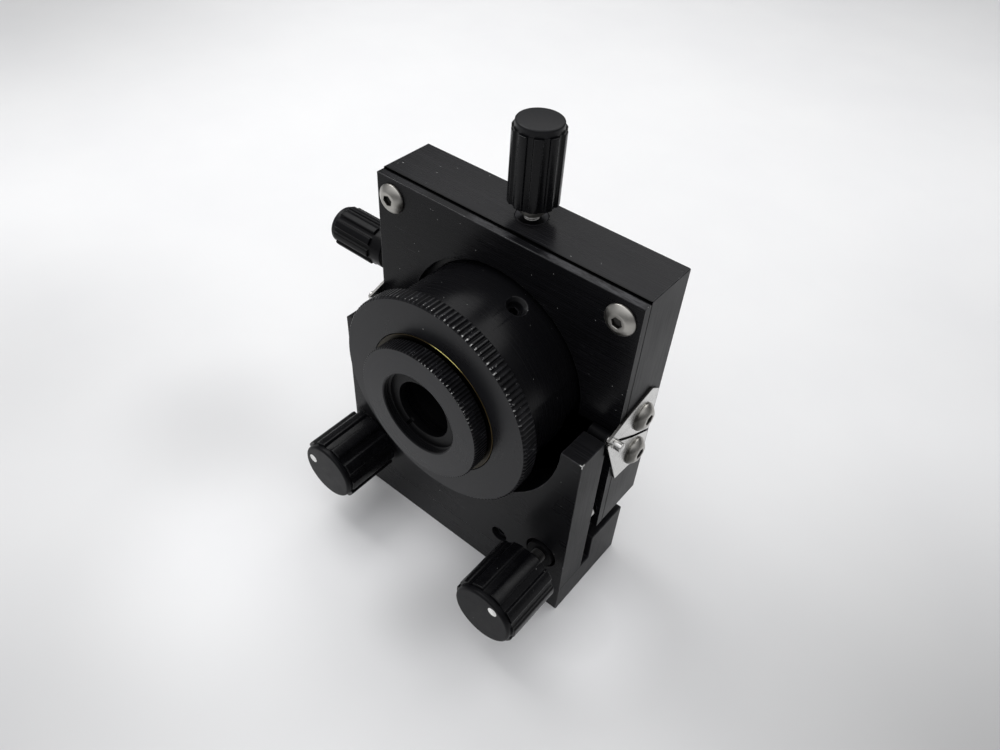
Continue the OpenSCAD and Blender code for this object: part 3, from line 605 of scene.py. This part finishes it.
def threaded(bm, centre, axis, head, ts, te, tail, r, depth, pitch, n=36):
    """A turned rod with a helical thread between ts and te. head and tail are the plain (r, t) points before and after it."""
    a, u, v = frame_of(axis)
    c = Vector(centre)
    rows = []

    def ring(fn):
        pts = [fn(k) for k in range(n)]
        rows.append([bm.verts.new(c + a * t + (u * math.cos(TAU * k / n) + v * math.sin(TAU * k / n)) * q) for k, (q, t) in enumerate(pts)])

    for q in head:
        ring(lambda k, q=q: q)
    first = len(rows)
    steps = 4
    turns = int(math.ceil((te - ts) / pitch)) + 1
    for i in range(turns * steps + 1):
        q = (r, r - depth * 0.2, r - depth, r - depth * 0.2)[i % steps]
        base = ts - pitch + pitch * i / steps
        ring(lambda k: ((q, base + pitch * k / n) if ts < base + pitch * k / n < te else (r, min(max(base + pitch * k / n, ts), te))))
    last = len(rows) - 1
    for q in tail:
        ring(lambda k, q=q: q)
    for i in range(len(rows) - 1):
        helix = first <= i < last
        for k in range(n):
            k2 = (k + 1) % n
            if helix and k2 == 0:
                b0, b1 = rows[min(i + steps, last)][0], rows[min(i + 1 + steps, last)][0]
            else:
                b0, b1 = rows[i][k2], rows[i + 1][k2]
            vs = (rows[i][k], b0, b1, rows[i + 1][k])
            if len(set(vs)) == 4:
                bm.faces.new(vs)
            elif len(set(vs)) == 3:
                bm.faces.new(list(dict.fromkeys(vs)))
    for ring_, t in ((rows[0], head[0][1]), (rows[-1], tail[-1][1])):
        tip = bm.verts.new(c + a * t)
        for k in range(n):
            bm.faces.new((tip, ring_[k], ring_[(k + 1) % n]))


def hex_r(th, af):
    """Radius of a hexagon of that width across flats at an angle."""
    q = (th + math.pi / 6) % (math.pi / 3) - math.pi / 6
    return af / 2 / math.cos(q)


def socket_head(bm, centre, axis, prof, rim, af, floor, n=72, ref=None, twist=0.0, inner=1):
    """A turned screw head whose top holds a hexagonal socket. prof runs from the underside to the rim of the socket's land."""
    a, u, v = frame_of(axis, ref)
    c = Vector(centre)

    def ring(fn):
        return [bm.verts.new(c + a * fn(TAU * k / n)[1] + (u * math.cos(TAU * k / n + twist) + v * math.sin(TAU * k / n + twist)) * fn(TAU * k / n)[0]) for k in range(n)]

    rings = [ring(lambda th, p=p: p) for p in prof]
    t = prof[-1][1]
    rings.append(ring(lambda th: (min(rim, max(hex_r(th, af) + 0.12, rim * 0.98)), t)))
    rings.append(ring(lambda th: (hex_r(th, af) + 0.07, t)))
    rings.append(ring(lambda th: (hex_r(th, af), t - 0.07)))
    rings.append(ring(lambda th: (hex_r(th, af), floor)))
    rings.append(ring(lambda th: (hex_r(th, af) * 0.86, floor - 0.03)))
    tip = bm.verts.new(c + a * (floor - af * 0.18))
    first = bm.verts.new(c + a * prof[0][1])
    for i in range(len(rings) - 1):
        for k in range(n):
            k2 = (k + 1) % n
            f = bm.faces.new((rings[i][k], rings[i][k2], rings[i + 1][k2], rings[i + 1][k]))
            f.material_index = inner if i >= len(rings) - 3 else 0
    for k in range(n):
        bm.faces.new((rings[-1][k], rings[-1][(k + 1) % n], tip)).material_index = inner
        bm.faces.new((first, rings[0][(k + 1) % n], rings[0][k]))


def dress(node, mat, edge=None, width=0.12, seg=3, angle=30.0, slot=None):
    """Keeps a CAD node, breaks its sharp edges and gives it its material."""
    ob = N[node]
    ob.data.materials.clear()
    ob.data.materials.append(mat)
    ob.data.materials.append(edge or mat)
    for p in ob.data.polygons:
        p.material_index = 0
        p.use_smooth = True
    w = ob.modifiers.new("weld", "WELD")
    w.merge_threshold = 2e-6
    d = ob.modifiers.new("flat", "DECIMATE")
    d.decimate_type = "DISSOLVE"
    d.angle_limit = math.radians(0.4)
    if width > 0:
        b = ob.modifiers.new("edges", "BEVEL")
        b.width = width * MM
        b.segments = seg
        b.limit_method = "ANGLE"
        b.angle_limit = math.radians(angle)
        b.use_clamp_overlap = False
        b.material = 1 if edge else -1
        b.miter_outer = "MITER_ARC"
    n = ob.modifiers.new("normals", "WEIGHTED_NORMAL")
    n.keep_sharp = False
    return ob


# ---------------------------------------------------------------- plates and blocks

dress("housing_block", M["block"], M["edge_seam"], 0.18)
dress("cover_plate", M["cover"], M["edge_seam"], 0.12)
dress("front_plate", M["plate"], M["plate_edge"], 0.12)
dress("base_block", M["base"], M["edge"], 0.16)
dress("yoke", M["yoke"], M["edge_soft"], 0.08)
dress("pitch_lug", M["yoke"], M["edge_soft"], 0.12)
dress("cross_slide", M["slide"], M["edge_soft"], 0.08)
dress("lens_carrier", M["barrel"], M["edge_soft"], 0.10)
dress("snap_ring", M["steel"], None, 0.06)
dress("key_screw", M["dark"], None, 0.06)
dress("lens_tube", M["brass_shaded_highlit"], None, 0.08)
dress("retaining_ring", M["deep"], None, 0.04)
for k in ("yaw_bushing", "pitch_bushing"):
    dress(k, M["black"], None, 0.10)
for k in ("x_bushing", "y_bushing"):
    dress(k, M["dark"], None, 0.08)
dress("yaw_setscrew", M["dark"], None, 0.06)
dress("base_screws", M["dark"], None, 0.08)
dress("lug_screws", M["dark"], None, 0.06)
dress("cover_screws_low", M["dark"], None, 0.05)
dress("pitch_stud", M["steel"], None, 0.05)
dress("stop_pins", M["steel"], None, 0.0)
dress("yaw_pivot", M["steel"], None, 0.1)
dress("pivot_pins", M["steel"], None, 0.22, 4)
dress("thrust_washer", M["brass"], None, 0.04)
for k in ("clip_upper_right", "clip_upper_left", "clip_lower_right", "clip_lower_left"):
    dress(k, M["leaf"], None, 0.07, 2)
for k in ("yaw_ball", "pitch_ball"):
    dress(k, M["steel"], None, 0.0)
for k in ("x_shoe", "y_shoe"):
    dress(k, M["brass"], None, 0.05)
for k in ("x_collar", "y_collar"):
    dress(k, M["bolt"], None, 0.1)

# ---------------------------------------------------------------- knurled rings

FOCUS_R, CELL_R = 17.47, 11.12


def knurl(count, depth, land=0.34):
    """Vertex angles and radius limit of a straight knurl."""
    steps = (0.0, land * 0.5, 0.5 - 0.06, 0.5 + 0.06, 1 - land * 0.5)
    table = tooth_angles(count, steps)
    drop = {round(a, 7): (0.0 if (s <= land * 0.5 + 1e-6 or s >= 1 - land * 0.5 - 1e-6) else depth) for a, s in table}
    return [a for a, _ in table], drop


ang, drop = knurl(135, 0.30, 0.26)
R = FOCUS_R
prof = rounded([
    (11.75, -18.15, 0.08), (R, -18.15, 0.0), (R, -15.25, 0.0), (14.0, -15.25, 0.0), (14.0, -11.15, 0.0),
    (13.4, -11.15, 0.0), (13.4, -10.25, 0.0), (14.0, -10.25, 0.0), (14.0, -9.2, 0.1), (11.75, -9.2, 0.1)], True, 2)


def ring_profile(r, y0, y1, chamfer, root, inner):
    """Outer rim of a knurled ring, with the rings of vertices that the teeth run out on."""
    out = [(inner, y0), (r - chamfer - 0.06, y0), (r - chamfer - 0.01, y0), (r - chamfer * 0.97, y0 + chamfer * 0.06)]
    for k in range(1, 5):
        f = k / 4
        out.append((r - chamfer * (1 - f) * 0.8, y0 + chamfer * (0.1 + 0.9 * f)))
    for k in range(1, 5):
        f = k / 4
        out.append((r - chamfer * f * 0.8, y1 - chamfer * (1 - 0.9 * f)))
    out += [(r - chamfer, y1), (r - chamfer - 0.4, y1)]
    return out


bm = bmesh.new()
prof = ring_profile(R, -18.15, -15.25, 0.30, 0.34, 11.83)
prof[0] = (11.75, -18.07)
prof.insert(1, (11.83, -18.15))
prof += [(14.0, -15.25), (14.0, -11.15), (13.4, -11.15), (13.4, -10.25), (14.0, -10.25), (14.0, -9.3), (13.9, -9.2), (11.85, -9.2), (11.75, -9.3)]


def lim(th, t, drop=drop, R=R):
    d = drop[round(th, 7)]
    return R - d if t < -15.2 else 99.0


revolve(bm, AXIS, (0, 1, 0), prof, closed=True, limit=lim, angles=ang,
        mat_of=lambda i, k: 0 if not 4 <= i <= 12 else 1 if (k % 5) in (0, 4) else 2)
make("focus_ring_knurled", bm, "focus_ring", [M["ring"], M["knurl"], M["groove"]], ["focus_ring"], 20)

ang2, drop2 = knurl(118, 0.20, 0.28)
bm = bmesh.new()
R2 = CELL_R
prof = ring_profile(R2, -21.12, -18.4, 0.18, 0.20, 7.0)
prof[0] = (7.0, -21.12)
prof += [(8.7, -18.4), (8.6, -18.3), (8.6, -13.1), (8.5, -13.0), (5.6, -13.0), (5.6, -16.5), (6.78, -16.5)]
# threaded bore behind a plain mouth
pitch = 0.55
y = -16.55
while y - pitch > -19.8:
    prof += [(6.78, y - pitch * 0.10), (6.55, y - pitch * 0.42), (6.55, y - pitch * 0.60), (6.78, y - pitch * 0.92)]
    y -= pitch
prof += [(6.55, -19.72), (6.55, -19.85), (6.77, -19.95)]
# turning marks of the mouth
for y in (-20.06, -20.42, -20.78):
    prof += [(6.77, y), (6.90, y - 0.07), (6.90, y - 0.13), (6.77, y - 0.20)]
prof += [(6.77, -21.0)]


def lim2(th, t, drop=drop2, R=R2):
    return R - drop[round(th, 7)] if t < -18.35 else 99.0


revolve(bm, AXIS, (0, 1, 0), prof, closed=True, limit=lim2, angles=ang2,
        mat_of=lambda i, k: 0 if not 3 <= i <= 11 else 1 if (k % 5) in (0, 4) else 2)
make("lens_cell_knurled", bm, "lens_tube", [M["cell"], M["knurl"], M["groove"]], ["lens_cell"], 20)

# ---------------------------------------------------------------- knobs


def rib_table(count, r_out, share=0.64, edge=0.10, half=True):
    """Vertex angles and radius factor of a ribbed sleeve: 1 on a rib's crest, 0 in the groove."""
    w = share / 2
    e = edge
    half = [(w + 0.025, 0.0), (w + 0.002, 0.10), (w - 0.015, 0.45), (w - 0.04, 0.74), (w - 0.08, 0.92), (w - 0.14, 0.99)]
    steps = [(0.0, 0.0)] + [(0.5 - q, f) for q, f in half] + [(0.5, 1.0)] + [(0.5 + q, f) for q, f in reversed(half)]
    angs, fac = [], {}
    for i in range(count):
        for s, f in steps:
            a = TAU * (i + s) / count
            angs.append(a)
            fac[round(a, 7)] = f
    return angs, fac


def knob(prefix, body, centre, axis, ref, cap_r, cap_t, rib_r, core_r, rib0, rib1, core1, bore_r, hub_r, hub_d, dot=None, cup=None):
    """Ribbed sleeve and its pressed-in cap. t runs from the cap's outer face towards the part."""
    angs, fac = rib_table(10, rib_r)
    bm = bmesh.new()

    def lim(th, t):
        f = fac[round(th, 7)]
        return core_r + (rib_r - core_r) * f

    e = 0.14
    prof = [(hub_r, hub_d), (hub_r, rib0 + 0.05), (hub_r + 0.05, rib0)]
    prof += [(core_r - 0.02, rib0), (core_r + 0.001, rib0)]
    for k in range(0, 5):
        q = math.pi / 2 * k / 4
        prof.append((rib_r - e + e * math.sin(q), rib0 + e - e * math.cos(q)))
    for k in range(1, 8):
        prof.append((rib_r, rib0 + e + (rib1 - rib0 - 2 * e) * k / 8))
    for k in range(0, 5):
        q = math.pi / 2 * k / 4
        prof.append((rib_r - e + e * math.cos(q), rib1 - e + e * math.sin(q)))
    prof += [(core_r + 0.001, rib1), (core_r, rib1 + 0.01), (core_r, core1 - 0.12), (core_r - 0.12, core1)]
    if cup:
        prof += [(cup[0] + 0.05, core1), (cup[0], core1 - 0.05), (cup[0], core1 - cup[1])]
    prof += [(bore_r, core1 - (cup[1] if cup else 0.0)), (bore_r, hub_d)]
    revolve(bm, centre, axis, prof, closed=True, limit=lim, angles=angs, ref=ref)
    # the X knob takes the darker copy of the knob plastic, painted shade
    make(prefix + "_knob_ribbed", bm, body, M["knob_side" if prefix == "x" else "knob"], [prefix + "_knob"], 40)
    bm = bmesh.new()
    prof = rounded([(0, 0.015), (cap_r, 0.015, 0.5 if dot else 0.32), (cap_r, cap_t, 0.05), (hub_r - 0.02, cap_t, 0.0), (hub_r - 0.02, hub_d - 0.03, 0.08), (0, hub_d - 0.03)], False, 5)
    revolve(bm, centre, axis, prof, 96, ref=ref)
    make(prefix + "_cap_satin", bm, body, M["cap_tilt" if dot else "cap"], [prefix + "_cap"], 40)
    if dot:
        # a paint-filled dimple, level with the cap's face
        c = Vector(centre) + Vector((dot[0], 0.0, dot[1]))
        size = dot[2]
        bm = bmesh.new()
        revolve(bm, c, axis, [(0, 0.001), (size * 0.55, 0.001), (size * 0.85, 0.004), (size, 0.014), (size, 0.12), (0, 0.12)], 40, ref=ref)
        make(prefix + "_cap_dot", bm, body, M["mark"], (), 60)


# tilt knobs: the axis runs from the capped face to the rear
knob("yaw", "yaw_adjuster", (-18.95, -24.55, 12.5), (0, 1, 0), (0, 0, 1), 5.25, 0.93, 5.8, 5.3, 0.94, 10.7, 10.9, 1.2, 3.2, 1.9, dot=(-3.30, 1.07, 0.82))
knob("pitch", "pitch_adjuster", (18.95, -27.75, 12.5), (0, 1, 0), (0, 0, 1), 5.25, 0.93, 5.8, 5.3, 0.94, 10.7, 10.9, 1.2, 3.2, 1.9, dot=(1.98, 3.256, 0.82))
# translation knobs
knob("x", "x_adjuster", (-39.8, 2.1, 40.95), (1, 0, 0), (0, 0, 1), 3.32, 1.1, 3.76, 3.35, 1.1, 9.4, 12.1, 1.2, 2.1, 1.9, cup=(1.95, 0.5))
knob("y", "y_adjuster", (0.7, 2.1, 75.6), (0, 0, -1), (1, 0, 0), 3.32, 1.1, 3.76, 3.35, 1.1, 11.9, 12.1, 1.2, 2.1, 1.9, cup=(1.95, 0.5))

# ---------------------------------------------------------------- screws and springs


# tilt screws: 0.3175 mm thread, and the cup for the ball at the rear end
for prefix, x, y0, y1, body in (("yaw", -18.95, -21.95, -6.8, "yaw_adjuster"), ("pitch", 18.95, -25.15, -4.9, "pitch_adjuster")):
    bm = bmesh.new()
    length = y1 - y0
    threaded(bm, (x, y0, 12.5), (0, 1, 0), [(1.05, 0.0), (1.19, 0.14), (1.19, 0.9)], 1.0, length - 1.0,
             [(1.19, length - 0.95), (1.19, length - 0.80), (1.05, length - 0.70), (0.95, length - 0.66), (0.95, length - 0.05), (0.90, length), (0.83, length), (0.82, length - 0.03), (0.82, length - 1.04)],
             1.19, 0.17, 0.3175)
    make(prefix + "_screw_threaded", bm, body, M["rod_dark"], [prefix + "_screw"], 40)
# translation screws: a turned pin through the shoe, then the thread
for prefix, centre, axis, length, body in (("x", (-17.1, 2.1, 40.95), (-1, 0, 0), 20.2, "x_adjuster"), ("y", (0.7, 2.1, 54.9), (0, 0, 1), 18.2, "y_adjuster")):
    bm = bmesh.new()
    threaded(bm, centre, axis, [(0.5, -2.6), (0.6, -2.5), (0.6, 0.05), (1.1, 0.05), (1.19, 0.14), (1.19, 0.3)], 0.4, length - 0.5,
             [(1.19, length - 0.4), (1.19, length - 0.1), (1.09, length)], 1.19, 0.17, 0.3175)
    make(prefix + "_screw_threaded", bm, body, M["rod"], [prefix + "_screw"], 40)

# top pair of button heads on the cover
bm = bmesh.new()
for sx in (-1, 1):
    h, r = 1.35, 2.4
    prof = [(1.4, -6.6 + 4.31 - 4.31 + 0.0)]
    prof = [(0.9, -10.9), (1.4, -10.6), (1.4, -0.02), (r - 0.06, -0.0), (r, 0.05), (r, 0.26)]
    flat = 0.3
    rr = (r * r + (h - flat) ** 2) / (2 * (h - flat))
    q0, q1 = math.asin(r / rr), math.asin(1.32 / rr)
    for k in range(0, 9):
        q = q0 + (q1 - q0) * k / 8
        prof.append((rr * math.sin(q) - (0.02 if k == 0 else 0), h - rr + rr * math.cos(q)))
    prof.append((1.22, h - rr + rr * math.cos(q1) + 0.01))
    socket_head(bm, (sx * 20.5, -4.31, 57.5), (0, -1, 0), prof, 1.15, 1.5, 0.45, twist=0.3 if sx < 0 else 0.9)
make("cover_screws_button", bm, "housing", [M["bolt"], M["socket"]], ["cover_screws"], 35)

# clip screws
bm = bmesh.new()
for sx in (-1, 1):
    for i, (cy_, cz_) in enumerate(((2.0, 36.75), (1.8, 29.25))):
        h, r = 1.6, 2.38
        prof = [(0.9, -4.3), (1.4, -4.0), (1.4, -0.02), (r - 0.06, 0.0), (r, 0.05), (r, 0.26)]
        flat = 0.3
        rr = (r * r + (h - flat) ** 2) / (2 * (h - flat))
        q0, q1 = math.asin(r / rr), math.asin(1.4 / rr)
        for k in range(0, 9):
            q = q0 + (q1 - q0) * k / 8
            prof.append((rr * math.sin(q) - (0.02 if k == 0 else 0), h - rr + rr * math.cos(q)))
        prof.append((1.3, h - rr + rr * math.cos(q1) + 0.01))
        socket_head(bm, (sx * 24.07, cy_, cz_), (sx, 0, 0), prof, 1.22, 1.6, 0.6, twist=0.2 + 0.7 * i + sx)
make("clip_screws_button", bm, "housing", [M["bolt_side"], M["socket"]], ["clip_screws"], 35)


def spring(name, node, body, centre, axis, r, wire, length, turns):
    a, u, v = frame_of(axis)
    c = Vector(centre)
    pts = []
    n = turns * 28
    for i in range(n + 1):
        th = TAU * i / 28
        f = i / n
        # closed end turns
        ease = max(0.0, min(1.0, (f - 0.12) / 0.76))
        t = wire + (length - 2 * wire) * ease
        if f < 0.12:
            t = wire + (f / 0.12) * 0.02
        if f > 0.88:
            t = length - wire - ((1 - f) / 0.12) * 0.02
        pts.append(c + a * t + (u * math.cos(th) + v * math.sin(th)) * r)
    bm = bmesh.new()
    tube_path(bm, pts, wire, 12)
    return make(name, bm, body, M["steel"], [node], 50)


spring("yaw_spring_wire", "yaw_spring", "base", (10.45, -9.7, 9.45), (0, 1, 0), 1.05, 0.18, 3.2, 5)
spring("pitch_spring_wire", "pitch_spring", "yoke", (10, 5.0, 13.4), (0, -1, 0), 0.87, 0.15, 2.55, 5)

# ---------------------------------------------------------------- stage

bm = bmesh.new()
bmesh.ops.create_grid(bm, x_segments=8, y_segments=8, size=1.6)
me = bpy.data.meshes.new("floor")
bm.to_mesh(me)
bm.free()
floor = bpy.data.objects.new("floor", me)
scene.collection.objects.link(floor)
floor.location = (0.0, 0.6, -0.00002)
s = Shade("floor_paint", (0.80, 0.80, 0.80), 0.55, 0.0, 0.3)
a = s.noise(s.moved((3, 3, 3)), 0.02, 4.0, 0.6, 0.3, 0.7)
col = s.mix(a, (0.79, 0.79, 0.795), (0.82, 0.82, 0.82))
# painted shadows and pools of light on the table top, standing in for shade and light falloff: place in mm, reach,
# change
painted_light_and_shade = None
for (x, y, reach, change) in ((105, 5, 90, -0.50), (-30, -95, 60, -0.25), (-300, 50, 160, -0.28), (-100, -50, 70, -0.15), (-54, -25, 26, -0.12),
                              (-22, -43, 32, 0.17), (-6, -16, 22, 0.2), (28, -13, 18, 0.34), (7, -27, 13, -0.2), (34, -44, 26, -0.08), (0, 380, 250, -0.14), (90, 110, 100, -0.11)):
    d = s.n("ShaderNodeVectorMath")
    d.operation = "DISTANCE"
    s.link(s.p, d.inputs[0])
    d.inputs[1].default_value = (x, y - 600.0, 0.0)
    v = s.span(d.outputs["Value"], 0.0, reach, change, 0.0, smooth=True)
    painted_light_and_shade = v if painted_light_and_shade is None else s.math("ADD", painted_light_and_shade, v)
painted_light_and_shade = s.math("MINIMUM", s.math("ADD", painted_light_and_shade, 1.0), 1.2)
comb = s.n("ShaderNodeCombineXYZ")
for i in range(3):
    s.link(painted_light_and_shade, comb.inputs[i])
mul = s.n("ShaderNodeVectorMath")
mul.operation = "MULTIPLY"
s.link(col, mul.inputs[0])
s.link(comb.outputs[0], mul.inputs[1])
s.color(mul.outputs[0])
s.bump(s.noise(s.moved(), 1.5, 3.0, 0.6), 0.004)
me.materials.append(s.done())

world = bpy.data.worlds.new("world")
scene.world = world
world.use_nodes = True
wt = world.node_tree
bg = wt.nodes["Background"]
tc = wt.nodes.new("ShaderNodeTexCoord")
total = None
# soft panels and windows of the room: azimuth and height in degrees, strength, warmth
for az, el, k, warm in ((0, 90, 0.398, 0.0), (0, 48, 0.583, 0.0), (240, 48, 0.821, 0.0), (300, 48, 1.046, 0.0), (225, 12, 0.298, 0.0), (180, 12, 0.121, 0.0),
                        (30, 14, 0.10, 0.0), (100, 30, 0.12, 0.0)):
    d = wt.nodes.new("ShaderNodeVectorMath")
    d.operation = "DOT_PRODUCT"
    wt.links.new(tc.outputs["Generated"], d.inputs[0])
    ca, ce = math.radians(az), math.radians(el)
    d.inputs[1].default_value = (math.cos(ce) * math.cos(ca), math.cos(ce) * math.sin(ca), math.sin(ce))
    prev = d.outputs["Value"]
    for op, v in (("MAXIMUM", 0.0), ("POWER", 8.0), ("MULTIPLY", k)):
        m = wt.nodes.new("ShaderNodeMath")
        m.operation = op
        wt.links.new(prev, m.inputs[0])
        m.inputs[1].default_value = v
        prev = m.outputs[0]
    m = wt.nodes.new("ShaderNodeMath")
    m.operation = "ADD"
    wt.links.new(prev, m.inputs[0])
    if total is None:
        m.inputs[1].default_value = 0.05
    else:
        wt.links.new(total, m.inputs[1])
    total = m.outputs[0]
comb = wt.nodes.new("ShaderNodeCombineXYZ")
for i, tint in enumerate((0.99, 0.995, 1.015)):
    m = wt.nodes.new("ShaderNodeMath")
    m.operation = "MULTIPLY"
    wt.links.new(total, m.inputs[0])
    m.inputs[1].default_value = tint
    wt.links.new(m.outputs[0], comb.inputs[i])
wt.links.new(comb.outputs[0], bg.inputs[0])
bg.inputs[1].default_value = 1.0


def area(name, loc, target, size, power, color=(1, 1, 1), size_y=None):
    d = bpy.data.lights.new(name, "AREA")
    d.shape = "RECTANGLE"
    d.size = size
    d.size_y = size_y or size
    d.energy = power
    d.color = color
    o = bpy.data.objects.new(name, d)
    scene.collection.objects.link(o)
    o.location = loc
    o.rotation_mode = "QUATERNION"
    o.rotation_quaternion = (Vector(target) - Vector(loc)).to_track_quat("-Z", "Y")
    return o


for name, x, y, z, size, power in (("back_left", -0.14, 0.24, 0.34, 0.25, 0.29), ("left", -0.22, 0.02, 0.34, 0.20, 0.57),
                                   ("back_right", 0.10, 0.26, 0.36, 0.25, 0.39), ("overhead", -0.06, -0.05, 0.36, 0.15, 0.09)):
    area(name, (x, y, z), (x * 0.4, y * 0.4, 0.0), size, power)
